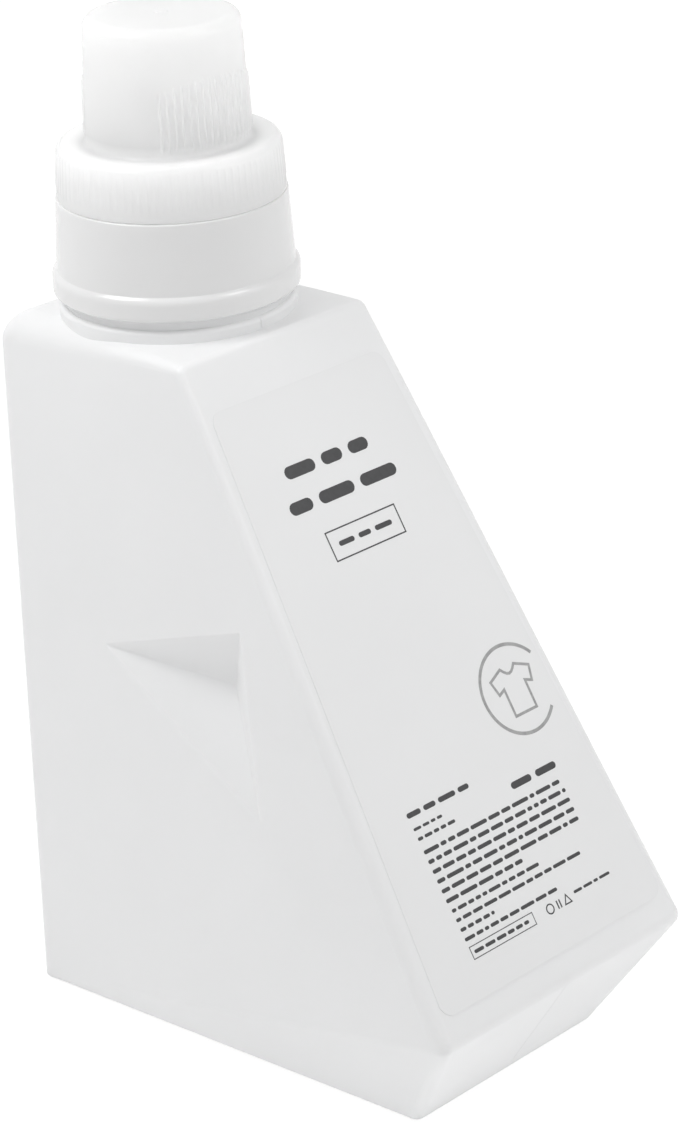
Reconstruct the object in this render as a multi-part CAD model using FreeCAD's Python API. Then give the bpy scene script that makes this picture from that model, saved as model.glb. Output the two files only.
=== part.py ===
import FreeCAD, Part

import math
import os

from FreeCAD import Vector

# Laundry detergent dispenser: a faceted blow-moulded bottle, a pour spout in its neck, a screw
# collar that holds the spout down, and a measuring cap that screws on the collar. Millimetres,
# +Z up. The printed front face looks along -Y, the neck sits towards the back (+Y), and the
# bottle is mirror-symmetric about X = 0. Pieces are built around the neck axis and moved at the
# end, so that the origin is under the middle of the bottle, on the surface it stands on.

# ---------------------------------------------------------------- bottle body, driving sizes
body_height = 151.7
top_back_width = 52.3
top_front_width = 53.6
neck_to_top_back = 28.83
neck_to_top_front = 28.37
base_back_width = 76.4
neck_to_base_back = 17.1
base_front_width = 54.6
neck_to_base_front = 87.7
fold_height = 28.3
neck_to_fold = 106.0
bottle_wall = 1.3

# Edge radii. The shoulder is soft at the back and tight at the front; the two ridges beside the
# printed face go the other way, from a tight top to a softer bottom.
edge_radius = 2.7
shoulder_radius_back = 6.5
shoulder_radius_front = 2.0
ridge_radius_top = 1.5
ridge_radius_bottom = 3.0

# Grip pocket in each side face: three corners on the face, given by height above the base and
# distance in front of the neck axis, and a deepest point below the face. The solid that cuts it
# carries on past the face, to this many times the pocket's own size.
grip_back_height = 86.0
grip_back_reach = 5.2
grip_top_height = 100.4
grip_top_reach = 46.7
grip_bottom_height = 60.8
grip_bottom_reach = 53.1
grip_apex_height = 84.1
grip_apex_reach = 37.2
grip_depth = 8.0
grip_rim_radius = 0.8
grip_overshoot = 1.8

# Base: a shallow push-up inside a flat standing rim.
push_up_height = 1.2
standing_rim_width = 9.0

# ---------------------------------------------------------------- neck
neck_step_radius = 25.0
neck_step_height = 2.6
neck_step_round = 1.0
neck_bead_radius = 23.9
neck_bead_gap = 0.25
neck_height = 17.7
neck_radius = 20.8
neck_wall = 2.0

# ---------------------------------------------------------------- seal and pour spout
gasket_thickness = 1.0
gasket_clearance = 0.2
flange_thickness = 1.5
flange_clearance = 0.4
plug_clearance = 0.3
plug_depth = 9.5
plug_wall = 1.2
bowl_drop = 2.0
spout_radius = 9.0
spout_wall = 1.2
spout_lip_height = 24.0
spout_back_height = 13.0
drain_slot_width = 9.0

# ---------------------------------------------------------------- screw collar
collar_gap = 2.15
collar_thread_room = 1.6
collar_bead_radius = 26.0
collar_bead_height = 5.25
collar_bead_round = 1.2
collar_bead_slope = 0.7
collar_bead_top_round = 2.0
collar_radius_bottom = 25.05
collar_radius_top = 24.15
collar_edge_round = 0.5
shelf_thickness = 2.25
spigot_radius = 20.6
spigot_wall = 1.8
spigot_height = 8.35
spigot_round = 0.4

# ---------------------------------------------------------------- measuring cap
cap_seat_gap = 0.2
skirt_radius_bottom = 23.9
skirt_radius_top = 23.25
skirt_wall = 1.3
shoulder_round = 1.6
shoulder_thickness = 1.5
seal_thickness = 1.6
seal_clearance = 0.2
cap_plug_clearance = 0.5
cap_plug_wall = 1.3
cap_plug_depth = 4.0
cup_radius_bottom = 17.2
cup_radius_top = 16.2
cup_height = 26.2
cup_wall = 1.2
cup_edge_round = 2.3
cup_foot_round = 0.8
gate_dimple_radius = 1.6
gate_dimple_depth = 0.4

# Grip ribs on the cup: two groups, facing the front and the back.
rib_groups = (-90.0, 90.0)
ribs_per_group = 19
rib_pitch = 5.2
rib_width = 0.7
rib_height = 0.35
rib_foot_above_shoulder = 1.5
rib_top_above_shoulder = 15.7
rib_top_drop = 2.2

# ---------------------------------------------------------------- label film on the front face
label_top_margin = 11.0
label_bottom_margin = 6.0
label_side_margin = 3.1
label_corner_radius = 3.0
label_thickness = 0.1

# ---------------------------------------------------------------- heights worked out from these
step_top = body_height + neck_step_height
rim_height = step_top + neck_height
gasket_top = rim_height + gasket_thickness
flange_top = gasket_top + flange_thickness
collar_bottom = step_top + collar_gap
neck_bead_top = collar_bottom - neck_bead_gap
shelf_top = flange_top + shelf_thickness
spigot_top = shelf_top + spigot_height
shoulder_under = spigot_top + seal_thickness
shoulder_top = shoulder_under + shoulder_thickness
cap_bottom = shelf_top + cap_seat_gap
cap_top = shoulder_top + cup_height

neck_bore_radius = neck_radius - neck_wall
collar_bore_radius = neck_radius + collar_thread_room
spigot_bore_radius = spigot_radius - spigot_wall

# How far a cutting solid passes the face it cuts, how near counts as the same place, and the
# tightest fillet.
overlap = 1.0
same_place = 0.05
smallest_radius = 0.2

up = Vector(0, 0, 1)
space = 4.0 * max(body_height, neck_to_fold, base_back_width)


def mirrored(point):
    return Vector(-point.x, point.y, point.z)


def plane_through(a, b, c, inside):
    """A point on the plane and its unit normal, pointing away from inside."""
    normal = (b - a).cross(c - a).normalize()
    if (inside - a).dot(normal) > 0:
        normal = normal * -1
    return a, normal


def solid_between(planes, inset):
    """The convex solid that the planes bound, each moved inwards by inset."""
    solid = Part.makeBox(2 * space, 2 * space, 2 * space, Vector(-space, -space, -space))
    for point, normal in planes:
        outside = Part.makeBox(4 * space, 4 * space, 2 * space, Vector(-2 * space, -2 * space, 0))
        turn = FreeCAD.Rotation(up, normal)
        outside.Placement = FreeCAD.Placement(point - normal * inset, turn)
        solid = solid.cut(outside)
    return solid


def revolved(points):
    """A closed outline of (radius, height) points turned about the neck axis."""
    corners = [Vector(radius, 0, height) for radius, height in points]
    face = Part.Face(Part.makePolygon(corners + corners[:1]))
    return face.revolve(Vector(0, 0, 0), up, 360)


def rounded(solid, radius, chosen):
    """Fillets the edges that the chosen test accepts."""
    edges = [edge for edge in solid.Edges if chosen(edge)]
    return solid.makeFillet(radius, edges)


def circle_at(radius, height):
    """A test for the round edges of this radius at this height."""
    def test(edge):
        curve = edge.Curve
        if not isinstance(curve, Part.Circle):
            return False
        return abs(curve.Radius - radius) < same_place and abs(curve.Center.z - height) < same_place
    return test


# ---------------------------------------------------------------- corners and planes of the body
middle = Vector(0, -neck_to_top_front, body_height / 2)
top_back = Vector(-top_back_width / 2, neck_to_top_back, body_height)
top_front = Vector(-top_front_width / 2, -neck_to_top_front, body_height)
base_back = Vector(-base_back_width / 2, neck_to_base_back, 0)
base_front = Vector(-base_front_width / 2, -neck_to_base_front, 0)

side_plane = plane_through(top_back, top_front, base_back, middle)


def on_side_face(reach, height):
    """The point of the left side face at this distance in front of the neck and this height."""
    point, normal = side_plane
    away = normal.y * (-reach - point.y) + normal.z * (height - point.z)
    return Vector(point.x - away / normal.x, -reach, height)


fold_corner = on_side_face(neck_to_fold, fold_height)
front_plane = plane_through(top_front, mirrored(top_front), fold_corner, middle)
back_plane = plane_through(top_back, mirrored(top_back), base_back, middle)
chin_plane = plane_through(fold_corner, mirrored(fold_corner), base_front, middle)
cheek_plane = plane_through(base_back, fold_corner, base_front, middle)
top_plane = (Vector(0, 0, body_height), up)
base_plane = (Vector(0, 0, 0), up * -1)


def flipped(plane):
    return mirrored(plane[0]), mirrored(plane[1])


body_planes = [
    top_plane, base_plane, front_plane, back_plane, chin_plane,
    side_plane, flipped(side_plane), cheek_plane, flipped(cheek_plane),
]


def end_radius(end, other, top, fold_radius):
    """The fillet radius at one end of an edge, from where the edge lies on the body. The front
    ridges end at the fold in fold_radius."""
    at_top = end.z > top - same_place
    other_at_top = other.z > top - same_place
    if at_top and other_at_top:
        return shoulder_radius_back if end.y > 0 else shoulder_radius_front
    if at_top and end.y < 0:
        return ridge_radius_top
    if other_at_top and other.y < 0:
        return fold_radius
    return edge_radius


def rounded_body(inset, fold_radius):
    """The body moved inwards by inset, with every edge rounded to suit. Once the planes are moved,
    each fold corner is two corners close together, and these need one radius all round."""
    solid = solid_between(body_planes, inset)
    top = body_height - inset
    document = FreeCAD.newDocument("rounding")
    sharp = document.addObject("Part::Feature", "sharp")
    sharp.Shape = solid
    fillet = document.addObject("Part::Fillet", "fillet")
    fillet.Base = sharp
    radii = []
    for number, edge in enumerate(solid.Edges, start=1):
        first = edge.valueAt(edge.FirstParameter)
        last = edge.valueAt(edge.LastParameter)
        start = max(end_radius(first, last, top, fold_radius) - inset, smallest_radius)
        end = max(end_radius(last, first, top, fold_radius) - inset, smallest_radius)
        radii.append((number, start, end))
    fillet.Edges = radii
    document.recompute()
    result = fillet.Shape.copy()
    FreeCAD.closeDocument(document.Name)
    return result


# ---------------------------------------------------------------- grip pockets
grip_corners = [
    on_side_face(grip_back_reach, grip_back_height),
    on_side_face(grip_top_reach, grip_top_height),
    on_side_face(grip_bottom_reach, grip_bottom_height),
]
grip_apex = on_side_face(grip_apex_reach, grip_apex_height) - side_plane[1] * grip_depth


def grip_pocket(growth):
    """The left pocket as a pyramid that opens outwards, its three walls moved in by growth."""
    pairs = [(0, 1), (1, 2), (2, 0)]
    centre = (grip_corners[0] + grip_corners[1] + grip_corners[2]) / 3
    walls = [plane_through(grip_apex, grip_corners[a], grip_corners[b], centre) for a, b in pairs]
    rows = FreeCAD.Matrix()
    normals = [normal for point, normal in walls]
    rows.A11, rows.A12, rows.A13 = normals[0].x, normals[0].y, normals[0].z
    rows.A21, rows.A22, rows.A23 = normals[1].x, normals[1].y, normals[1].z
    rows.A31, rows.A32, rows.A33 = normals[2].x, normals[2].y, normals[2].z
    apex = grip_apex + rows.inverse().multVec(Vector(growth, growth, growth))
    rim = [apex + (corner - grip_apex) * grip_overshoot for corner in grip_corners]
    sides = [[apex, rim[a], rim[b]] for a, b in pairs] + [rim]
    faces = [Part.Face(Part.makePolygon(side + side[:1])) for side in sides]
    return Part.Solid(Part.Shell(faces))


def with_mirror(solid):
    return [solid, solid.mirror(Vector(0, 0, 0), Vector(1, 0, 0))]


def is_grip_edge(edge):
    """The edges of the left and right pockets, by their ends."""
    ends = [vertex.Point for vertex in edge.Vertexes]
    if len(ends) != 2:
        return False
    corners = grip_corners + [grip_apex]
    corners = corners + [mirrored(corner) for corner in corners]
    return all(min(end.distanceToPoint(corner) for corner in corners) < same_place for end in ends)


# ---------------------------------------------------------------- pieces
def push_up(growth):
    """The shallow hollow under the base, or the space that its wall needs above it."""
    inset = standing_rim_width - growth
    planes = [wall for wall in body_planes if wall not in (top_plane, base_plane)]
    top = (Vector(0, 0, push_up_height + growth), up)
    below = (Vector(0, 0, -push_up_height), up * -1)
    prism = solid_between(planes, inset)
    slab = solid_between([top, below], 0)
    return prism.common(slab)


def build_bottle():
    outer = rounded_body(0, ridge_radius_bottom)
    outer = outer.cut(with_mirror(grip_pocket(0)))
    outer = rounded(outer, grip_rim_radius, is_grip_edge)
    outer = outer.cut(push_up(0))
    step = Part.makeCylinder(neck_step_radius, neck_step_height + edge_radius,
                             Vector(0, 0, body_height - edge_radius))
    step = rounded(step, neck_step_round, circle_at(neck_step_radius, step_top))
    neck = Part.makeCylinder(neck_radius, rim_height - body_height, Vector(0, 0, body_height))
    bead = Part.makeCylinder(neck_bead_radius, neck_bead_top - body_height,
                             Vector(0, 0, body_height))
    outer = outer.fuse([step, bead, neck]).removeSplitter()

    inner = rounded_body(bottle_wall, edge_radius)
    inner = inner.cut(with_mirror(grip_pocket(bottle_wall)))
    inner = inner.cut(push_up(bottle_wall))
    bore = Part.makeCylinder(neck_bore_radius, neck_height + neck_step_height + 2 * bottle_wall,
                             Vector(0, 0, body_height - bottle_wall))
    step_room = Part.makeCylinder(neck_step_radius - bottle_wall, neck_step_height,
                                  Vector(0, 0, body_height - bottle_wall))
    bead_room = Part.makeCylinder(neck_bead_radius - bottle_wall, neck_bead_top - body_height,
                                  Vector(0, 0, body_height - bottle_wall))
    return outer.cut(inner.fuse([bore, step_room, bead_room]))


def build_gasket():
    inner_radius = neck_bore_radius + gasket_clearance
    outline = [
        (inner_radius, rim_height),
        (neck_radius, rim_height),
        (neck_radius, gasket_top),
        (inner_radius, gasket_top),
    ]
    return revolved(outline)


def build_spout():
    """A flange on the gasket, a plug in the neck, a sloping bowl and an open pouring trough."""
    plug_radius = neck_bore_radius - plug_clearance
    plug_inner = plug_radius - plug_wall
    flange_radius = collar_bore_radius - flange_clearance
    bowl_edge = gasket_top - plug_depth
    bowl_foot = bowl_edge - bowl_drop
    tube_inner = spout_radius - spout_wall
    lip = flange_top + spout_lip_height
    body = revolved([
        (flange_radius, gasket_top),
        (flange_radius, flange_top),
        (plug_inner, flange_top),
        (plug_inner, bowl_edge),
        (spout_radius, bowl_foot),
        (spout_radius, lip),
        (tube_inner, lip),
        (tube_inner, bowl_foot - plug_wall),
        (spout_radius, bowl_foot - plug_wall),
        (plug_radius, bowl_edge - plug_wall),
        (plug_radius, gasket_top),
    ])
    slot = Part.makeBox(drain_slot_width, spout_radius + overlap, lip - bowl_foot + overlap,
                        Vector(-drain_slot_width / 2, -spout_radius - overlap, bowl_foot))
    slope = math.degrees(math.atan2(spout_lip_height - spout_back_height, 2 * spout_radius))
    wedge = Part.makeBox(4 * spout_radius, 4 * spout_radius, 2 * spout_lip_height)
    wedge.translate(Vector(-2 * spout_radius, -4 * spout_radius, 0))
    wedge.rotate(Vector(0, 0, 0), Vector(1, 0, 0), slope)
    wedge.translate(Vector(0, spout_radius, lip))
    return body.cut([slot, wedge])


def build_collar():
    """The skirt with its bead, the shelf that holds the flange down, and the cap's spigot."""
    bead_top = collar_bottom + collar_bead_height
    bead_corner = bead_top - collar_bead_slope
    outline = [
        (collar_bore_radius, collar_bottom),
        (collar_bead_radius, collar_bottom),
        (collar_bead_radius, bead_corner),
        (collar_radius_bottom, bead_top),
        (collar_radius_top, shelf_top),
        (spigot_radius, shelf_top),
        (spigot_radius, spigot_top),
        (spigot_bore_radius, spigot_top),
        (spigot_bore_radius, flange_top),
        (collar_bore_radius, flange_top),
    ]
    collar = revolved(outline)
    collar = rounded(collar, collar_bead_round, circle_at(collar_bead_radius, collar_bottom))
    collar = rounded(collar, collar_bead_top_round, circle_at(collar_bead_radius, bead_corner))
    collar = rounded(collar, collar_edge_round, circle_at(collar_radius_top, shelf_top))
    collar = rounded(collar, spigot_round, circle_at(spigot_radius, spigot_top))
    return rounded(collar, spigot_round, circle_at(spigot_bore_radius, spigot_top))


def build_cap_seal():
    inner_radius = spigot_bore_radius + seal_clearance
    outer_radius = spigot_radius + seal_clearance
    return revolved([
        (inner_radius, spigot_top),
        (outer_radius, spigot_top),
        (outer_radius, shoulder_under),
        (inner_radius, shoulder_under),
    ])


def cup_radius_at(height):
    share = (height - shoulder_top) / (cap_top - shoulder_top)
    return cup_radius_bottom + (cup_radius_top - cup_radius_bottom) * share


def grip_ribs():
    """Fine upright ribs on the cup, each leaning with its wall, the middle ones of a group tallest."""
    foot_height = shoulder_top + rib_foot_above_shoulder
    foot_radius = cup_radius_at(foot_height)
    sunk = cup_wall / 2
    middle = (ribs_per_group - 1) / 2
    ribs = []
    for group in rib_groups:
        for number in range(ribs_per_group):
            aside = (number - middle) / middle
            rib_top = shoulder_top + rib_top_above_shoulder - rib_top_drop * aside ** 2
            lean = foot_radius - cup_radius_at(rib_top)
            foot = [
                Vector(foot_radius - sunk, -rib_width / 2, foot_height),
                Vector(foot_radius + rib_height, -rib_width / 4, foot_height),
                Vector(foot_radius + rib_height, rib_width / 4, foot_height),
                Vector(foot_radius - sunk, rib_width / 2, foot_height),
            ]
            face = Part.Face(Part.makePolygon(foot + foot[:1]))
            rib = face.extrude(Vector(-lean, 0, rib_top - foot_height))
            rib.rotate(Vector(0, 0, 0), up, group + (number - middle) * rib_pitch)
            ribs.append(rib)
    return ribs


def build_cap():
    """A tapered cup above a wider skirt, open below, with a plug ring that enters the spigot."""
    plug_outer = spigot_bore_radius - cap_plug_clearance
    plug_inner = plug_outer - cap_plug_wall
    plug_end = shoulder_under - cap_plug_depth
    cup_inner_foot = cup_radius_bottom - cup_wall
    cap = revolved([
        (skirt_radius_bottom, cap_bottom),
        (skirt_radius_top, shoulder_top),
        (cup_radius_bottom, shoulder_top),
        (cup_radius_top, cap_top),
        (0, cap_top),
        (0, cap_top - cup_wall),
        (cup_radius_top - cup_wall, cap_top - cup_wall),
        (cup_inner_foot, shoulder_under),
        (plug_inner, shoulder_under),
        (plug_inner, plug_end),
        (plug_outer, plug_end),
        (plug_outer, shoulder_under),
        (skirt_radius_top - skirt_wall, shoulder_under),
        (skirt_radius_bottom - skirt_wall, cap_bottom),
    ])
    cap = rounded(cap, cup_edge_round, circle_at(cup_radius_top, cap_top))
    inner_top = cap_top - cup_wall
    inner_round = cup_edge_round - cup_wall
    cap = rounded(cap, inner_round, circle_at(cup_radius_top - cup_wall, inner_top))
    cap = rounded(cap, shoulder_round, circle_at(skirt_radius_top, shoulder_top))
    cap = rounded(cap, cup_foot_round, circle_at(cup_radius_bottom, shoulder_top))
    dimple = Part.makeCylinder(gate_dimple_radius, gate_dimple_depth,
                               Vector(0, 0, cap_top - gate_dimple_depth))
    return cap.cut(dimple).fuse(grip_ribs()).removeSplitter()


def build_label():
    """Film on the front face, inside its edges, narrowing upwards with the face."""
    down = fold_corner - top_front
    down = Vector(0, down.y, down.z)
    length = down.Length
    down = down.normalize()
    spread = (abs(fold_corner.x) - abs(top_front.x)) / length
    start = label_top_margin
    end = length - label_bottom_margin
    middle_top = Vector(0, top_front.y, top_front.z)

    def corner(side, distance):
        half = abs(top_front.x) + spread * distance - label_side_margin
        return middle_top + down * distance + Vector(side * half, 0, 0)

    corners = [corner(-1, start), corner(1, start), corner(1, end), corner(-1, end)]
    face = Part.Face(Part.makePolygon(corners + corners[:1]))
    outwards = front_plane[1]
    film = face.extrude(outwards * label_thickness)
    thin = [edge for edge in film.Edges if edge.Length < 2 * label_thickness]
    return film.makeFillet(label_corner_radius, thin)


# ---------------------------------------------------------------- place and write
bottle = build_bottle()
box = bottle.optimalBoundingBox(False, False)
to_origin = Vector(0, -(box.YMin + box.YMax) / 2, 0)

pieces = {
    "bottle": bottle,
    "front_label": build_label(),
    "neck_gasket": build_gasket(),
    "pour_spout": build_spout(),
    "screw_collar": build_collar(),
    "cap_seal": build_cap_seal(),
    "measuring_cap": build_cap(),
}

os.makedirs("parts", exist_ok=True)
for name, shape in pieces.items():
    shape.translate(to_origin)
    shape.exportStep("parts/" + name + ".step")
    print(name, "solids", len(shape.Solids), "valid", shape.isValid(), "volume", round(shape.Volume, 1))
print("neck axis at y =", round(to_origin.y, 3))
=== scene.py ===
import math
import random

import bpy
from mathutils import Matrix, Vector
from mathutils.bvhtree import BVHTree


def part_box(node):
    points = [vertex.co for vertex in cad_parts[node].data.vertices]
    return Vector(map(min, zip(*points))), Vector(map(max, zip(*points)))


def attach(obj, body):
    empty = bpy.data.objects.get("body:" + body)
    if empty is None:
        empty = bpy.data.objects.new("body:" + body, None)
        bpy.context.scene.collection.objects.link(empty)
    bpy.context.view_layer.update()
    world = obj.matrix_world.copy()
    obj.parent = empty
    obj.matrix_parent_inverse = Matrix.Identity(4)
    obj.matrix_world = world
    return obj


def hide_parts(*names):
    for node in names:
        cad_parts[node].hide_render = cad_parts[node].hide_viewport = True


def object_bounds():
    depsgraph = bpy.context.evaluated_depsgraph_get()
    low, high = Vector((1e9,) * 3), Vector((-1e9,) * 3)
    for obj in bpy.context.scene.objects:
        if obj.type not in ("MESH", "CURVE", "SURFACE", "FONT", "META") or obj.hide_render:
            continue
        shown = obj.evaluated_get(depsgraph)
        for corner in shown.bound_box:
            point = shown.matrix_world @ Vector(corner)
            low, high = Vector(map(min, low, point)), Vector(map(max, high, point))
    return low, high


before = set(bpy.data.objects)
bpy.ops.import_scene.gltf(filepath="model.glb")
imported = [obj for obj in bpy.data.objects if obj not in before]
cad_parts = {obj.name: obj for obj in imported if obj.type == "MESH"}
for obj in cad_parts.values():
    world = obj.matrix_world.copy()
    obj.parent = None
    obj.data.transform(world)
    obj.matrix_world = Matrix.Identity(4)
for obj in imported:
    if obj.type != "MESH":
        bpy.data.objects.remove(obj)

cad_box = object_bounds()

# Laundry detergent dispenser. Metres, +Z up, the printed front looks along -Y. The CAD bottle,
# gasket, spout, label film and cap seal stay and get materials. The collar and the cap are
# replaced by finer turned meshes of the same form, with the threads and the fine ribs that the
# solids leave out.

mm = 0.001

# ---------------------------------------------------------------- sizes shared with the solids
# A few edges of the collar and the skirt are rounded differently here, for their highlights.
neck_radius = 20.8 * mm
collar_bore_radius = 22.4 * mm
collar_bead_radius = 26.0 * mm
collar_bead_height = 5.25 * mm
collar_bead_slope = 0.7 * mm
collar_bead_round = 0.8 * mm
collar_bead_top_round = 2.0 * mm
collar_radius_bottom = 25.05 * mm
collar_radius_top = 24.15 * mm
collar_edge_round = 0.3 * mm
collar_bore_round = 0.3 * mm
collar_bead_foot_round = 0.4 * mm
shelf_under = 174.5 * mm
shelf_top = 176.75 * mm
spigot_radius = 20.6 * mm
spigot_bore_radius = 18.8 * mm
spigot_round = 0.4 * mm

skirt_radius_bottom = 23.9 * mm
skirt_radius_top = 23.25 * mm
skirt_wall = 1.3 * mm
shoulder_top = 188.2 * mm
shoulder_round = 1.6 * mm
shoulder_thickness = 1.5 * mm
skirt_rim_round = 0.15 * mm
# the cap's underside is kept off its seal, since faces that coincide render dark
seal_gap = 0.05 * mm
cup_radius_bottom = 17.2 * mm
cup_radius_top = 16.2 * mm
cup_wall = 1.2 * mm
cup_edge_round = 2.3 * mm
cup_foot_round = 0.8 * mm
cap_plug_outer = 18.3 * mm
cap_plug_wall = 1.3 * mm
cap_plug_depth = 4.0 * mm
cap_plug_round = 0.3 * mm
gate_dimple_radius = 1.6 * mm
gate_dimple_floor = 0.6 * gate_dimple_radius
gate_dimple_depth = 0.4 * mm

# the middles of the two groups, and the pitch, are in degrees about the neck axis
rib_groups = (-90.0, 90.0)
ribs_per_group = 19
rib_pitch = 5.2
rib_height = 0.35 * mm
rib_foot_above_shoulder = 1.5 * mm
rib_top_above_shoulder = 15.7 * mm
rib_top_drop = 2.2 * mm
rib_fade = 0.6 * mm

# ---------------------------------------------------------------- forms that only the looks have
neck_lead = 6.0 * mm
neck_thread_starts = 1
neck_thread_width = 2.2 * mm
neck_thread_foot = 3.0 * mm
neck_thread_turns = 1.75
neck_thread_steps_per_turn = 96
neck_thread_sunk = 0.1 * mm
cap_lead = 8.0 * mm
cap_thread_starts = 2
cap_thread_width = 1.5 * mm
thread_height = 0.9 * mm
thread_flank_share = 0.22
thread_fade = 0.8 * mm

skirt_rib_pitch = 4.0
skirt_rib_height = 0.12 * mm
skirt_rib_fade = 0.3 * mm
skirt_rim_height = 2.0 * mm
skirt_thread_fade = 0.5 * mm
rib_sharpness = 1.5

parting_line_width = 0.3 * mm
parting_line_height = 0.06 * mm
parting_line_sunk = 0.02 * mm
# how far out the rays towards the bottle start
outside_bottle = 400 * mm
step_line_width = 0.6 * mm
step_line_height = 0.2 * mm

# ---------------------------------------------------------------- fineness of the meshes
turn_steps = 720
arc_steps = 6
collar_longest_run = 0.4 * mm
cap_longest_run = 0.6 * mm
ridge_sides = 8
ridge_taper_steps = 6
# a ridge's tip counts as this part of a step, so that it doesn't close to nothing
ridge_tip = 0.15
# how far a point may lie from a surface and still count as on it
on_surface = 0.05 * mm
# the skirt's inside isn't quite parallel to its outside
in_skirt_surface = 0.06 * mm

# ---------------------------------------------------------------- places from the frame
collar_low, collar_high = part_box("screw_collar")
cap_low, cap_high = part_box("measuring_cap")
axis = Vector(((collar_low.x + collar_high.x) / 2, (collar_low.y + collar_high.y) / 2, 0))
collar_bottom = collar_low.z
spigot_top = collar_high.z
cap_bottom = cap_low.z
cap_top = cap_high.z
shoulder_under = shoulder_top - shoulder_thickness + seal_gap


# ---------------------------------------------------------------- mesh tools
def add_mesh(name, points, faces, smooth_angle=30.0):
    """A new piece, smooth apart from edges sharper than smooth_angle degrees."""
    mesh = bpy.data.meshes.new(name)
    mesh.from_pydata([tuple(point) for point in points], [], faces)
    mesh.update()
    piece = bpy.data.objects.new(name, mesh)
    bpy.context.scene.collection.objects.link(piece)
    mesh.shade_smooth()
    mesh.set_sharp_from_angle(angle=math.radians(smooth_angle))
    return piece


def rounded(corners):
    """A line of (x, y) points through (x, y, radius) corners, with an arc at each corner."""
    points = []
    count = len(corners)
    for number, (x, y, radius) in enumerate(corners):
        here = Vector((x, y))
        if radius == 0:
            points.append(here)
            continue
        before = (Vector(corners[number - 1][:2]) - here).normalized()
        after = (Vector(corners[(number + 1) % count][:2]) - here).normalized()
        half = before.angle(after) / 2
        reach = radius / math.tan(half)
        centre = here + (before + after).normalized() * radius / math.sin(half)
        start = here + before * reach - centre
        end = here + after * reach - centre
        turn = start.angle_signed(end)
        for step in range(arc_steps + 1):
            angle = -turn * step / arc_steps
            spoke = Matrix.Rotation(angle, 2) @ start
            points.append(centre + spoke)
    return points


def divided(points, longest, closed):
    """The same line with no run longer than the given length."""
    result = []
    pairs = list(zip(points, points[1:] + points[:1]))
    if not closed:
        pairs = pairs[:-1]
    for a, b in pairs:
        parts = max(1, math.ceil((b - a).length / longest))
        result += [a.lerp(b, part / parts) for part in range(parts)]
    if not closed:
        result.append(points[-1])
    return result


def turned(name, line, closed, relief):
    """Turns a line of (radius, height) points about the neck axis. relief gives the radial
    offset of a point from its radius, height and angle in degrees. An open line starts and ends
    on the axis."""
    points, faces, rings = [], [], []
    for radius, height in line:
        if radius < 1e-7:
            rings.append([len(points)] * turn_steps)
            points.append(axis + Vector((0, 0, height)))
            continue
        first = len(points)
        rings.append(list(range(first, first + turn_steps)))
        for step in range(turn_steps):
            degrees = 360.0 * step / turn_steps
            reach = radius + relief(radius, height, degrees)
            angle = math.radians(degrees)
            spoke = Vector((reach * math.cos(angle), reach * math.sin(angle), height))
            points.append(axis + spoke)
    pairs = list(zip(rings, rings[1:]))
    if closed:
        pairs.append((rings[-1], rings[0]))
    for upper, lower in pairs:
        for step in range(turn_steps):
            after = (step + 1) % turn_steps
            corners = [upper[step], lower[step], lower[after], upper[after]]
            face = [c for k, c in enumerate(corners) if c not in corners[:k]]
            faces.append(face)
    return add_mesh(name, points, faces)


def window(value, low, high, soft):
    """1 between low and high, 0 outside, with soft ends."""
    rise = min(max((value - low) / soft, 0.0), 1.0)
    fall = min(max((high - value) / soft, 0.0), 1.0)
    return rise * rise * (3 - 2 * rise) * fall * fall * (3 - 2 * fall)


def wrapped(degrees):
    """The same angle between -180 and 180 degrees."""
    return (degrees + 180.0) % 360.0 - 180.0


def thread_profile(height, degrees, lead, starts, width, phase):
    """1 on a thread's crest and 0 between its turns, for a right-hand thread."""
    pitch = lead / starts
    along = (height - phase - lead * degrees / 360.0) / pitch
    away = abs(along - round(along)) * pitch
    return min(max((width / 2 - away) / (thread_flank_share * width), 0.0), 1.0)


# ---------------------------------------------------------------- screw collar
spigot_thread_low = shelf_top + 0.9 * mm
spigot_thread_high = spigot_top - 0.9 * mm
bore_thread_low = collar_bottom + 2.2 * mm
bore_thread_high = shelf_under - 3.0 * mm


def collar_relief(radius, height, degrees):
    """The spigot's outer thread and the bore's inner thread."""
    if abs(radius - spigot_radius) < on_surface:
        ridge = thread_profile(
            height, degrees, cap_lead, cap_thread_starts, cap_thread_width, 0.0)
        tall = window(height, spigot_thread_low, spigot_thread_high, thread_fade)
        return thread_height * ridge * tall
    if abs(radius - collar_bore_radius) < on_surface:
        ridge = thread_profile(
            height, degrees, neck_lead, neck_thread_starts, neck_thread_width, neck_lead / 2)
        tall = window(height, bore_thread_low, bore_thread_high, thread_fade)
        return -thread_height * ridge * tall
    return 0.0


def make_collar():
    bead_top = collar_bottom + collar_bead_height
    corners = [
        (collar_bore_radius, collar_bottom, collar_bore_round),
        (collar_bead_radius, collar_bottom, collar_bead_round),
        (collar_bead_radius, bead_top - collar_bead_slope, collar_bead_top_round),
        (collar_radius_bottom, bead_top, collar_bead_foot_round),
        (collar_radius_top, shelf_top, collar_edge_round),
        (spigot_radius, shelf_top, 0),
        (spigot_radius, spigot_top, spigot_round),
        (spigot_bore_radius, spigot_top, spigot_round),
        (spigot_bore_radius, shelf_under, 0),
        (collar_bore_radius, shelf_under, 0),
    ]
    line = divided(rounded(corners), collar_longest_run, closed=True)
    return turned("collar", line, True, collar_relief)


# ---------------------------------------------------------------- measuring cap
def cup_radius_at(height):
    share = (height - shoulder_top) / (cap_top - shoulder_top)
    return cup_radius_bottom + (cup_radius_top - cup_radius_bottom) * share


def skirt_radius_at(height):
    share = (height - cap_bottom) / (shoulder_top - cap_bottom)
    return skirt_radius_bottom + (skirt_radius_top - skirt_radius_bottom) * share


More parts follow.
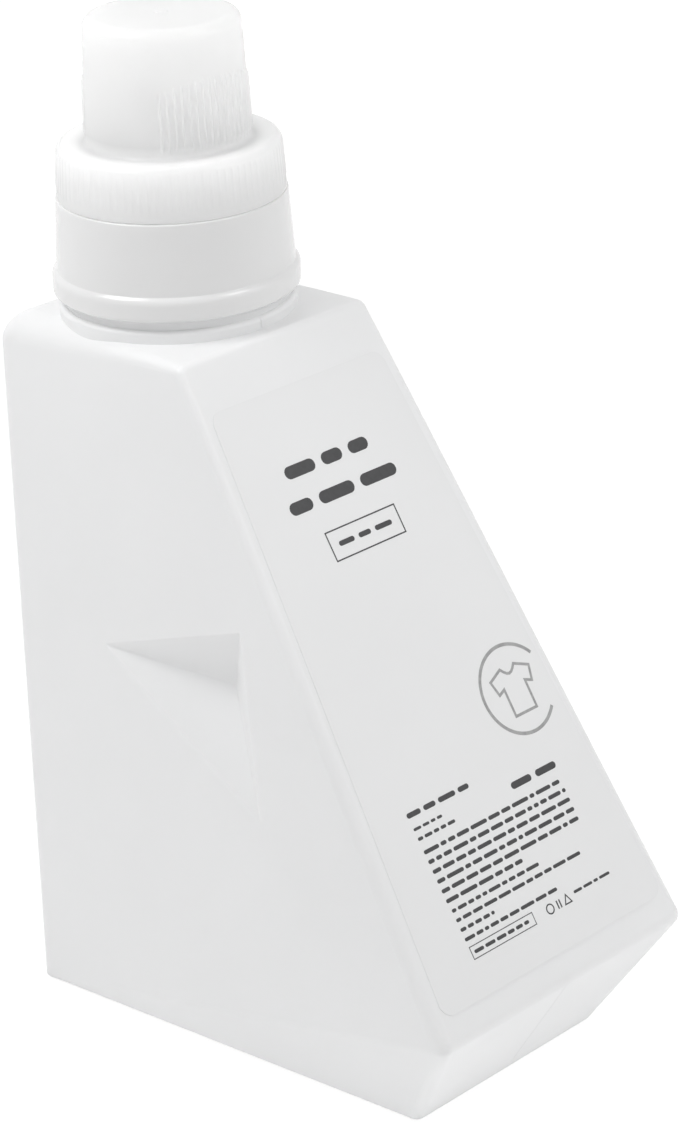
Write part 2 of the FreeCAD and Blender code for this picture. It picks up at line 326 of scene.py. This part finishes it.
def rib_wave(degrees, pitch):
    """Narrow rounded ribs: 1 on a rib's crest, 0 between ribs."""
    return max(0.0, math.cos(2 * math.pi * degrees / pitch)) ** rib_sharpness


# ribs end in from the rim and the shoulder, and the thread from the rim and the cap's underside
skirt_rib_top = shoulder_top - 0.4 * mm
skirt_thread_low = cap_bottom + 1.6 * mm
skirt_thread_high = shoulder_under - 0.2 * mm


def cap_relief(radius, height, degrees):
    """Grip ribs on the cup, fine ribs on the skirt, and the thread inside the skirt."""
    on_cup = height > shoulder_top and abs(radius - cup_radius_at(height)) < on_surface
    if on_cup:
        half_group = (ribs_per_group - 1) / 2 * rib_pitch
        for group in rib_groups:
            away = wrapped(degrees - group)
            if abs(away) < half_group + rib_pitch / 3:
                rib_foot = shoulder_top + rib_foot_above_shoulder
                drop = rib_top_drop * (away / half_group) ** 2
                rib_top = shoulder_top + rib_top_above_shoulder - drop
                tall = window(height, rib_foot, rib_top, rib_fade)
                return rib_height * tall * rib_wave(away, rib_pitch)
        return 0.0
    in_skirt = cap_bottom < height < shoulder_top
    if in_skirt and abs(radius - skirt_radius_at(height)) < on_surface:
        tall = window(height, cap_bottom + skirt_rim_height, skirt_rib_top, skirt_rib_fade)
        return skirt_rib_height * tall * rib_wave(degrees, skirt_rib_pitch)
    if in_skirt and abs(radius - (skirt_radius_at(height) - skirt_wall)) < in_skirt_surface:
        phase = cap_lead / cap_thread_starts / 2
        ridge = thread_profile(
            height, degrees, cap_lead, cap_thread_starts, cap_thread_width, phase)
        tall = window(height, skirt_thread_low, skirt_thread_high, skirt_thread_fade)
        return -thread_height * ridge * tall
    return 0.0


def make_cap():
    inner_top = cap_top - cup_wall
    plug_inner = cap_plug_outer - cap_plug_wall
    plug_end = shoulder_under - cap_plug_depth
    corners = [
        (0, cap_top - gate_dimple_depth, 0),
        (gate_dimple_floor, cap_top - gate_dimple_depth, 0),
        (gate_dimple_radius, cap_top, 0),
        (cup_radius_top, cap_top, cup_edge_round),
        (cup_radius_bottom, shoulder_top, cup_foot_round),
        (skirt_radius_top, shoulder_top, shoulder_round),
        (skirt_radius_bottom, cap_bottom, skirt_rim_round),
        (skirt_radius_bottom - skirt_wall, cap_bottom, skirt_rim_round),
        (skirt_radius_top - skirt_wall, shoulder_under, 0),
        (cap_plug_outer, shoulder_under, 0),
        (cap_plug_outer, plug_end, cap_plug_round),
        (plug_inner, plug_end, cap_plug_round),
        (plug_inner, shoulder_under, 0),
        (cup_radius_bottom - cup_wall, shoulder_under, 0),
        (cup_radius_top - cup_wall, inner_top, cup_edge_round - cup_wall),
        (0, inner_top, 0),
    ]
    line = divided(rounded(corners), cap_longest_run, closed=False)
    return turned("cap", line, False, cap_relief)


# ---------------------------------------------------------------- neck thread
def ridge_along(name, places, outwards, width, height, sunk):
    """A low ridge of round section along a line. places and outwards are matching lists. Its ends
    taper off, and its foot is sunk a little into what carries it."""
    points, faces = [], []
    for number, (place, out) in enumerate(zip(places, outwards)):
        before = places[max(number - 1, 0)]
        after = places[min(number + 1, len(places) - 1)]
        across = out.cross((after - before).normalized())
        end = min(number, len(places) - 1 - number)
        taper = min(1.0, (end + ridge_tip) / ridge_taper_steps)
        for side in range(ridge_sides):
            angle = math.pi * side / (ridge_sides - 1)
            spread = math.cos(angle) * width / 2
            rise = math.sin(angle) * height * taper - sunk
            points.append(place + across * spread + out * rise)
    for number in range(len(places) - 1):
        first, second = number * ridge_sides, (number + 1) * ridge_sides
        for side in range(ridge_sides):
            after = (side + 1) % ridge_sides
            faces.append([first + side, first + after, second + after, second + side])
    faces.append(list(reversed(range(ridge_sides))))
    last = (len(places) - 1) * ridge_sides
    faces.append([last + side for side in range(ridge_sides)])
    return add_mesh(name, points, faces)


def make_neck_thread():
    low = collar_bottom + neck_thread_foot
    steps = int(neck_thread_turns * neck_thread_steps_per_turn)
    places, outwards = [], []
    for step in range(steps + 1):
        turn = neck_thread_turns * step / steps
        angle = 2 * math.pi * turn
        out = Vector((math.cos(angle), math.sin(angle), 0))
        places.append(axis + out * neck_radius + Vector((0, 0, low + neck_lead * turn)))
        outwards.append(out)
    return ridge_along(
        "neck_thread", places, outwards, neck_thread_width, thread_height, neck_thread_sunk)


# ---------------------------------------------------------------- parting lines of the bottle
def bottle_tree():
    return BVHTree.FromObject(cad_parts["bottle"], bpy.context.evaluated_depsgraph_get())


def make_parting_line(tree, name, centre, start, end, steps, width, height):
    """A faint moulding line where the plane X = 0 cuts the bottle, seen from centre over a range
    of angles in degrees in that plane. 0 looks along -Y and 90 straight up."""
    places, outwards = [], []
    for step in range(steps + 1):
        angle = math.radians(start + (end - start) * step / steps)
        away = Vector((0, -math.cos(angle), math.sin(angle)))
        hit, normal, _, _ = tree.ray_cast(centre + away * outside_bottle, -away)
        places.append(hit)
        outwards.append(normal)
    return ridge_along(name, places, outwards, width, height, parting_line_sunk)


# ---------------------------------------------------------------- print on the front label
def label_plane():
    """The film's outer surface: the middle of its top edge, and its directions across, down and
    out."""
    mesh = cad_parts["front_label"].data
    outer_faces = (p for p in mesh.polygons if p.normal.y < -0.5 and p.normal.z > 0)
    front = max(outer_faces, key=lambda p: p.area)
    out = front.normal.copy()
    out.x = 0
    out.normalize()
    down = Vector((0, -abs(out.z), -abs(out.y)))
    _, film_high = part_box("front_label")
    on_plane = mesh.vertices[front.vertices[0]].co
    along = (on_plane.z - film_high.z) / down.z
    top = on_plane - down * along
    return Vector((0, top.y, top.z)), Vector((1, 0, 0)), down, out


label_top, label_across, label_down, label_out = label_plane()
print_thickness = 0.02 * mm
# how far down the front face the film's top edge lies, in the print's own millimetres
film_top = 11.0
bar_end_steps = 8
# a corner's mitre is held back where the turn is sharper than this
sharpest_mitre = 0.5


class Plates:
    """Thin flat shapes on the label, gathered into one mesh. Sizes are in millimetres: x runs
    across from the middle, and s down the front face."""

    def __init__(self):
        self.points = []
        self.faces = []

    def place(self, x, s, lift):
        down = s - film_top
        return label_top + label_across * x * mm + label_down * down * mm + label_out * lift

    def shape(self, outline):
        """A closed convex or star-shaped outline of (x, s) points."""
        count = len(outline)
        first = len(self.points)
        for lift in (0.0, print_thickness):
            self.points += [self.place(x, s, lift) for x, s in outline]
        self.faces.append([first + count + k for k in reversed(range(count))])
        self.faces.append([first + k for k in range(count)])
        for k in range(count):
            after = (k + 1) % count
            self.faces.append(
                [first + k, first + count + k, first + count + after, first + after])

    def strip(self, line, width, closed=False):
        """A band of even width along a line of (x, s) points."""
        points = [Vector(point) for point in line]
        count = len(points)
        edges = []
        for k, point in enumerate(points):
            before = points[k - 1] if closed or k > 0 else point
            after = points[(k + 1) % count] if closed or k < count - 1 else point
            into = (point - before).normalized()
            out_of = (after - point).normalized()
            if before == point:
                into = out_of
            if after == point:
                out_of = into
            side = Vector((-(into.y + out_of.y), into.x + out_of.x)).normalized()
            stretch = 1 / max(sharpest_mitre, side.dot(Vector((-into.y, into.x))))
            half = side * width / 2 * stretch
            edges.append((point + half, point - half))
        pairs = list(zip(edges, edges[1:]))
        if closed:
            pairs.append((edges[-1], edges[0]))
        for (a, b), (c, d) in pairs:
            self.shape([tuple(a), tuple(b), tuple(d), tuple(c)])

    def bar(self, x0, x1, s, height):
        """A bar with round ends, centred on s."""
        radius = height / 2
        outline = []
        for middle, start in ((x0 + radius, math.pi / 2), (x1 - radius, -math.pi / 2)):
            for k in range(bar_end_steps + 1):
                angle = start + math.pi * k / bar_end_steps
                outline.append((middle + radius * math.cos(angle), s - radius * math.sin(angle)))
        self.shape(outline)

    def row(self, x0, x1, s, height, lengths, gap, draw):
        """Bars of drawn lengths with gaps between, filling a row from x0 to x1."""
        x = x0
        while x < x1 - height:
            length = min(draw.uniform(*lengths), x1 - x)
            if length > height:
                self.bar(x, x + length, s, height)
            x += length + gap

    def finish(self, name):
        return add_mesh(name, self.points, self.faces, smooth_angle=20.0)


# ---------------------------------------------------------------- layout of the print
# Millimetres on the front face: x across from its middle, s down it. Plain bars stand for the
# lettering.
# headline bars: s, height, (x0, x1) of each bar
headline_bars = (
    (27.9, 2.7, ((-13.1, -4.6), (-2.6, 3.2), (5.2, 10.8))),
    (35.1, 2.7, ((-15.8, -9.4), (-7.4, 2.6), (4.6, 15.0))),
    (45.1, 1.1, ((-7.6, -3.2), (-1.9, 1.6), (2.9, 7.8))),
    (105.0, 1.5, ((7.5, 13.6), (15.0, 21.2))),
)
# boxes: x0, s0, x1, s1, line width
headline_box = (-9.9, 42.0, 10.2, 48.2, 0.3)
foot_box = (-20.4, 129.6, -1.6, 132.2, 0.18)
# rows of small bars: x0, x1, s, height, shortest and longest bar, gap
small_rows = [
    (-21.1, -2.9, 100.6, 1.1, (3.0, 6.0), 0.9),
    (-20.9, -12.6, 103.6, 0.6, (1.2, 3.0), 0.5),
    (-20.9, -9.6, 105.7, 0.7, (1.4, 3.2), 0.5),
]
small_rows += [(-20.9, end, 108.6 + 2.15 * number, 0.85, (1.2, 5.0), 0.55)
               for number, end in enumerate((20.8, 20.8, 20.8, 20.8, 20.8, 2.0))]
small_rows += [(-20.6, end, 121.6 + 2.1 * number, 0.75, (1.2, 4.2), 0.5)
               for number, end in enumerate((5.6, 17.9, -10.5, 7.5))]
small_rows += [
    (11.1, 22.4, 130.3, 0.6, (1.2, 3.4), 0.5),
    (-19.6, -2.4, 130.9, 0.75, (1.2, 3.2), 0.5),
]
row_seed = 7
# the small signs: a circle, two strokes and a triangle
sign_circle = (3.4, 130.9, 1.0, 0.3)
sign_circle_sides = 24
sign_strokes = (5.7, 6.5)
sign_stroke_ends = (130.0, 131.8)
sign_stroke_width = 0.35
sign_triangle = ((8.7, 129.8), (9.7, 131.7), (7.7, 131.7))
sign_triangle_width = 0.28
# the mark: an open ring round a plain shirt, drawn from the ring's middle
mark_x, mark_s = 20.0, 87.4
ring_radius = 9.6
ring_width = 0.75
ring_start, ring_sweep, ring_steps = 42, 283, 72
shirt_width = 0.6
shirt_side = ((2.1, -5.0), (5.9, -3.4), (5.0, -0.2), (3.2, -0.9), (3.2, 5.2))
shirt_neck_drop = 1.5
shirt_neck_steps = 6


def box_outline(x0, s0, x1, s1):
    return [(x0, s0), (x1, s0), (x1, s1), (x0, s1)]


def make_dark_print():
    draw = random.Random(row_seed)
    plates = Plates()
    for s, height, bars in headline_bars:
        for x0, x1 in bars:
            plates.bar(x0, x1, s, height)
    for *corners, width in (headline_box, foot_box):
        plates.strip(box_outline(*corners), width, closed=True)
    for row in small_rows:
        plates.row(*row, draw)

    middle_x, middle_s, radius, width = sign_circle
    angles = [2 * math.pi * k / sign_circle_sides for k in range(sign_circle_sides)]
    circle = [(middle_x + radius * math.cos(a), middle_s + radius * math.sin(a)) for a in angles]
    plates.strip(circle, width, closed=True)
    for x in sign_strokes:
        plates.strip([(x, s) for s in sign_stroke_ends], sign_stroke_width)
    plates.strip(sign_triangle, sign_triangle_width, closed=True)
    return plates.finish("front_print")


def make_grey_print():
    """An open ring round a plain outline of a shirt."""
    plates = Plates()
    ring = []
    for step in range(ring_steps + 1):
        angle = math.radians(ring_start + ring_sweep * step / ring_steps)
        ring.append((mark_x + ring_radius * math.cos(angle),
                     mark_s + ring_radius * math.sin(angle)))
    plates.strip(ring, ring_width)
    mirrored = [(-x, s) for x, s in reversed(shirt_side)]
    half_neck, neck_s = shirt_side[0]
    neck = []
    for step in range(1, shirt_neck_steps):
        share = step / shirt_neck_steps
        neck.append((half_neck * (2 * share - 1),
                     neck_s + shirt_neck_drop * math.sin(math.pi * share)))
    outline = [(mark_x + x, mark_s + s) for x, s in [*shirt_side, *mirrored, *neck]]
    plates.strip(outline, shirt_width, closed=True)
    return plates.finish("front_icon")


# ---------------------------------------------------------------- materials
# noises: features in a metre, detail
tone_noise = (28, 3)
gloss_noise = (60, 4)
wave_noise = (35, 1)
grain_noise = (1400, 2)
frost_gloss_noise = (90, 3)
frost_wave_noise = (60, 1)
frost_grain_noise = (1200, 2)
ink_noise = (900, 3)
# the part of a noise's range that goes from one value to the other
noise_start, noise_end = 0.35, 0.65
wave_depth = 0.6 * mm
frost_wave_depth = 0.4 * mm
grain_depth = 0.04 * mm


class Shader:
    """A material's node tree, with short ways to add nodes and links."""

    def __init__(self, name):
        self.material = bpy.data.materials.new(name)
        self.material.use_nodes = True
        self.tree = self.material.node_tree
        self.bsdf = self.tree.nodes["Principled BSDF"]

    def node(self, kind, **values):
        """Adds a node and sets its sockets, or its own values where no socket has that name."""
        made = self.tree.nodes.new(kind)
        for key, value in values.items():
            if key in made.inputs:
                made.inputs[key].default_value = value
            else:
                setattr(made, key, value)
        return made

    def link(self, source, target):
        self.tree.links.new(source, target)

    def set(self, **values):
        """Sets sockets of the main shader, named with _ for each space."""
        for key, value in values.items():
            self.bsdf.inputs[key.replace("_", " ")].default_value = value

    def noise(self, scale, detail):
        """Noise fixed to the piece."""
        place = self.node("ShaderNodeTexCoord")
        made = self.node("ShaderNodeTexNoise", Scale=scale, Detail=detail, Roughness=0.5)
        self.link(place.outputs["Object"], made.inputs["Vector"])
        return made

    def vary(self, noise, low, high, socket):
        """Lets a socket of the main shader vary from one colour to another with the noise."""
        made = self.node("ShaderNodeValToRGB")
        first, last = made.color_ramp.elements
        first.position, first.color = noise_start, (*low, 1)
        last.position, last.color = noise_end, (*high, 1)
        self.link(noise.outputs["Fac"], made.inputs["Fac"])
        self.link(made.outputs["Color"], self.bsdf.inputs[socket])

    def bump(self, *layers):
        """Lays (noise node, strength, distance) layers one over the other, and gives the
        normal."""
        last = None
        for source, strength, distance in layers:
            made = self.node("ShaderNodeBump", Strength=strength, Distance=distance)
            self.link(source.outputs["Fac"], made.inputs["Height"])
            if last:
                self.link(last.outputs["Normal"], made.inputs["Normal"])
            last = made
        self.link(last.outputs["Normal"], self.bsdf.inputs["Normal"])
        return last.outputs["Normal"]


def satin_plastic(name, colour, roughness, grain, wave, depth=0.12):
    """Moulded plastic with a fine grain and a slow wave from the mould. depth is the share of the
    light that spreads under the surface."""
    shader = Shader(name)
    shader.set(IOR=1.5, Subsurface_Weight=depth, Subsurface_Scale=4 * mm,
               Subsurface_Radius=(1.0, 0.95, 0.9))
    shade = tuple(value * 0.985 for value in colour)
    shader.vary(shader.noise(*tone_noise), shade, colour, "Base Color")
    low, high = (roughness - 0.03,) * 3, (roughness + 0.04,) * 3
    shader.vary(shader.noise(*gloss_noise), low, high, "Roughness")
    shader.bump((shader.noise(*wave_noise), wave, wave_depth),
                (shader.noise(*grain_noise), grain, grain_depth))
    return shader.material


def frosted_plastic(name, through_share, clear_below, clear_above, change_height):
    """Frosted moulded plastic: it lets light through and blurs what is behind it. through_share
    of it only scatters light through. The rest is clear by a share that changes at a height,
    between the grained skirt and the smoother cup."""
    shader = Shader(name)
    pale = (0.995, 0.995, 0.995, 1)
    shader.set(IOR=1.49, Base_Color=pale)
    place = shader.node("ShaderNodeTexCoord")
    split = shader.node("ShaderNodeSeparateXYZ")
    clear = shader.node("ShaderNodeMapRange")
    for socket, value in (("From Min", change_height), ("From Max", change_height + 2 * mm),
                          ("To Min", clear_below), ("To Max", clear_above)):
        clear.inputs[socket].default_value = value
    shader.link(place.outputs["Object"], split.inputs["Vector"])
    shader.link(split.outputs["Z"], clear.inputs["Value"])
    shader.link(clear.outputs["Result"], shader.bsdf.inputs["Transmission Weight"])
    shader.vary(shader.noise(*frost_gloss_noise), (0.14,) * 3, (0.2,) * 3, "Roughness")
    normal = shader.bump((shader.noise(*frost_wave_noise), 0.1, frost_wave_depth),
                         (shader.noise(*frost_grain_noise), 0.06, grain_depth))
    through = shader.node("ShaderNodeBsdfTranslucent", Color=pale)
    shader.link(normal, through.inputs["Normal"])
    both = shader.node("ShaderNodeMixShader", Fac=through_share)
    shader.link(shader.bsdf.outputs["BSDF"], both.inputs[1])
    shader.link(through.outputs["BSDF"], both.inputs[2])
    shader.link(both.outputs["Shader"], shader.tree.nodes["Material Output"].inputs["Surface"])
    return shader.material


def ink(name, colour):
    """Screen-printed ink, slightly uneven in cover."""
    shader = Shader(name)
    shader.set(Roughness=0.45)
    light = tuple(value * 1.25 for value in colour)
    shader.vary(shader.noise(*ink_noise), colour, light, "Base Color")
    return shader.material


# name, colour, roughness, grain, wave
bottle_plastic = satin_plastic("bottle_white", (0.84, 0.842, 0.845), 0.4, 0.12, 0.12)
collar_plastic = satin_plastic("collar_white", (0.765, 0.765, 0.765), 0.15, 0.02, 0.04)
# the spout is a darker white than the collar as painted shade, so that the shadow inside the
# frosted cap shows as a darker blur
spout_painted_shade = satin_plastic("spout_white", (0.7, 0.705, 0.71), 0.38, 0.06, 0.08)
soft_seal = satin_plastic("soft_seal", (0.93, 0.935, 0.93), 0.55, 0.1, 0.05)
film = satin_plastic("label_film", (0.805, 0.807, 0.81), 0.37, 0.1, 0.12, depth=0.0)
cap_plastic = frosted_plastic("cap_frosted", through_share=0.5, clear_below=0.25,
                              clear_above=0.62, change_height=shoulder_top + 0.5 * mm)
charcoal_ink = ink("ink_charcoal", (0.03, 0.03, 0.032))
grey_ink = ink("ink_grey", (0.3, 0.3, 0.3))


# ---------------------------------------------------------------- build, dress and hang on bodies
def dress(piece, material):
    piece.data.materials.clear()
    piece.data.materials.append(material)


for node, material in (
    ("bottle", bottle_plastic),
    ("front_label", film),
    ("neck_gasket", soft_seal),
    ("pour_spout", spout_painted_shade),
    ("cap_seal", soft_seal),
):
    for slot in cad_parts[node].material_slots:
        slot.material = material


def hang(piece, body, slot, material, *replaced):
    """Dresses a piece and lets it ride on a body, in place of the nodes that it replaces."""
    dress(piece, material)
    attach(piece, body)
    if replaced:
        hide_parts(*replaced)


hang(make_collar(), "collar_body", "collar_white", collar_plastic, "screw_collar")
hang(make_cap(), "cap_body", "cap_frosted", cap_plastic, "measuring_cap")
hang(make_neck_thread(), "bottle_body", "bottle_white", bottle_plastic)

# each line: y and z of its centre in metres, first and last angle, steps, width and height
plain_line = (parting_line_width, parting_line_height)
step_line = (step_line_width, step_line_height)
tree = bottle_tree()
for name, y, z, start, end, steps, (width, height) in (
    ("parting_line_front", 0, 0.09, 47, 54, 30, plain_line),
    ("parting_line_step", axis.y, 0.1525, -2, 4, 24, step_line),
    ("parting_line_chin", -0.02, 0.03, -44, 2, 60, plain_line),
    ("parting_line_back", 0.03, 0.08, 112, 235, 150, plain_line),
):
    line = make_parting_line(tree, name, Vector((0, y, z)), start, end, steps, width, height)
    hang(line, "bottle_body", "bottle_white", bottle_plastic)

hang(make_dark_print(), "bottle_body", "label_film", charcoal_ink)
hang(make_grey_print(), "bottle_body", "label_film", grey_ink)


# ---------------------------------------------------------------- camera
camera_azimuth = math.radians(44.54)
camera_elevation = math.radians(23.44)
camera_roll = math.radians(2.53)
camera_distance = 0.7094
camera_lens = 109.9
camera_sensor = 36.0
aim_offset = Vector((0, -6 * mm, -2.2 * mm))

target = (cad_box[0] + cad_box[1]) / 2 + aim_offset
forward = Vector((math.cos(camera_elevation) * math.sin(camera_azimuth),
                  math.cos(camera_elevation) * math.cos(camera_azimuth),
                  -math.sin(camera_elevation)))
level = Vector((math.cos(camera_azimuth), -math.sin(camera_azimuth), 0))
upright = level.cross(forward)


def make_camera():
    data = bpy.data.cameras.new("camera")
    data.sensor_fit = "AUTO"
    data.sensor_width = camera_sensor
    data.lens = camera_lens
    data.clip_start = 0.01
    data.clip_end = 20
    camera = bpy.data.objects.new("camera", data)
    bpy.context.scene.collection.objects.link(camera)
    up = upright * math.cos(camera_roll) + level * math.sin(camera_roll)
    right = level * math.cos(camera_roll) - upright * math.sin(camera_roll)
    turn = Matrix((right, up, -forward)).transposed()
    camera.matrix_world = Matrix.Translation(target - forward * camera_distance) @ turn.to_4x4()
    bpy.context.scene.camera = camera


make_camera()


# ---------------------------------------------------------------- floor, surroundings and lights
def seen_directly(tree, path):
    """1 for camera, glossy and transmission rays, and 0 for rays that only carry light."""
    result = path.outputs["Is Camera Ray"]
    for kind in ("Is Glossy Ray", "Is Transmission Ray"):
        either = tree.nodes.new("ShaderNodeMath")
        either.operation = "MAXIMUM"
        tree.links.new(result, either.inputs[0])
        tree.links.new(path.outputs[kind], either.inputs[1])
        result = either.outputs[0]
    return result


floor_radius = 1.6
floor_sides = 64
# as light the floor is a plain pale grey; where it is seen it is white, and keeps the shadow
floor_shade = 0.9
seen_floor_shade = 0.25
seen_floor_glow = 0.86
world_light = 0.6


def make_floor():
    angles = [2 * math.pi * k / floor_sides for k in range(floor_sides)]
    points = [(0, 0, 0)]
    points += [(floor_radius * math.cos(a), floor_radius * math.sin(a), 0) for a in angles]
    faces = [(0, 1 + k, 1 + (k + 1) % floor_sides) for k in range(floor_sides)]
    floor = add_mesh("floor", points, faces)
    shader = Shader("floor_white")
    tree = shader.tree
    output = tree.nodes["Material Output"]
    path = shader.node("ShaderNodeLightPath")
    diffuse = shader.node("ShaderNodeBsdfDiffuse", Color=(*(floor_shade,) * 3, 1))
    seen_diffuse = shader.node("ShaderNodeBsdfDiffuse", Color=(*(seen_floor_shade,) * 3, 1))
    glow = shader.node("ShaderNodeEmission", Color=(1, 1, 1, 1), Strength=seen_floor_glow)
    seen = shader.node("ShaderNodeAddShader")
    shader.link(seen_diffuse.outputs[0], seen.inputs[0])
    shader.link(glow.outputs[0], seen.inputs[1])
    mix = shader.node("ShaderNodeMixShader")
    shader.link(seen_directly(tree, path), mix.inputs[0])
    shader.link(diffuse.outputs[0], mix.inputs[1])
    shader.link(seen.outputs[0], mix.inputs[2])
    tree.nodes.remove(shader.bsdf)
    shader.link(mix.outputs[0], output.inputs["Surface"])
    dress(floor, shader.material)


def make_world():
    """White where it is seen, and a plain, weaker white as light."""
    world = bpy.data.worlds.new("studio")
    bpy.context.scene.world = world
    world.use_nodes = True
    tree = world.node_tree
    path = tree.nodes.new("ShaderNodeLightPath")
    strength = tree.nodes.new("ShaderNodeMix")
    strength.data_type = "FLOAT"
    strength.inputs["A"].default_value = world_light
    strength.inputs["B"].default_value = 1.0
    tree.links.new(seen_directly(tree, path), strength.inputs["Factor"])
    background = tree.nodes["Background"]
    background.inputs["Color"].default_value = (1, 1, 1, 1)
    tree.links.new(strength.outputs["Result"], background.inputs["Strength"])


def make_softbox(name, around, height, distance, width, tall, power):
    """A rectangular lamp, placed by its angle from the camera's side and its height angle."""
    data = bpy.data.lights.new(name, "AREA")
    data.shape = "RECTANGLE"
    data.size = width
    data.size_y = tall
    data.energy = power
    lamp = bpy.data.objects.new(name, data)
    bpy.context.scene.collection.objects.link(lamp)
    side = math.atan2(-forward.y, -forward.x) + math.radians(around)
    rise = math.radians(height)
    away = Vector((math.cos(side) * math.cos(rise), math.sin(side) * math.cos(rise),
                   math.sin(rise)))
    lamp.location = target + away * distance
    lamp.visible_camera = False
    lamp.rotation_mode = "QUATERNION"
    lamp.rotation_quaternion = away.to_track_quat("Z", "Y")


def make_light_table(size, power):
    """A weak lamp flat on the floor, facing up, as on a photographer's lit table."""
    data = bpy.data.lights.new("light_table", "AREA")
    data.shape = "SQUARE"
    data.size = size
    data.energy = power
    lamp = bpy.data.objects.new("light_table", data)
    bpy.context.scene.collection.objects.link(lamp)
    lamp.location = (target.x, target.y, 1 * mm)
    lamp.rotation_euler = (math.pi, 0, 0)
    lamp.visible_camera = False


light_table_size = 0.8
light_table_power = 0.27
# name, degrees round from the camera's side, degrees up, distance, width, height, watts
softboxes = (
    ("softbox_left", -78, 55, 0.42, 0.18, 0.18, 0.685),
    ("softbox_right_high", 70, 52, 0.42, 0.13, 0.13, 0.285),
    ("softbox_right_low", 72, 30, 0.5, 0.35, 0.35, 0.27),
    ("softbox_back", 180, 45, 0.9, 1.2, 0.8, 0.6),
)

make_floor()
make_world()
for softbox in softboxes:
    make_softbox(*softbox)
make_light_table(light_table_size, light_table_power)

scene = bpy.context.scene
scene.view_settings.view_transform = "Standard"
# light crosses several pale walls in the closure, and with few bounces it would stay dark
scene.cycles.max_bounces = 24
scene.cycles.diffuse_bounces = 12
scene.cycles.transmission_bounces = 24
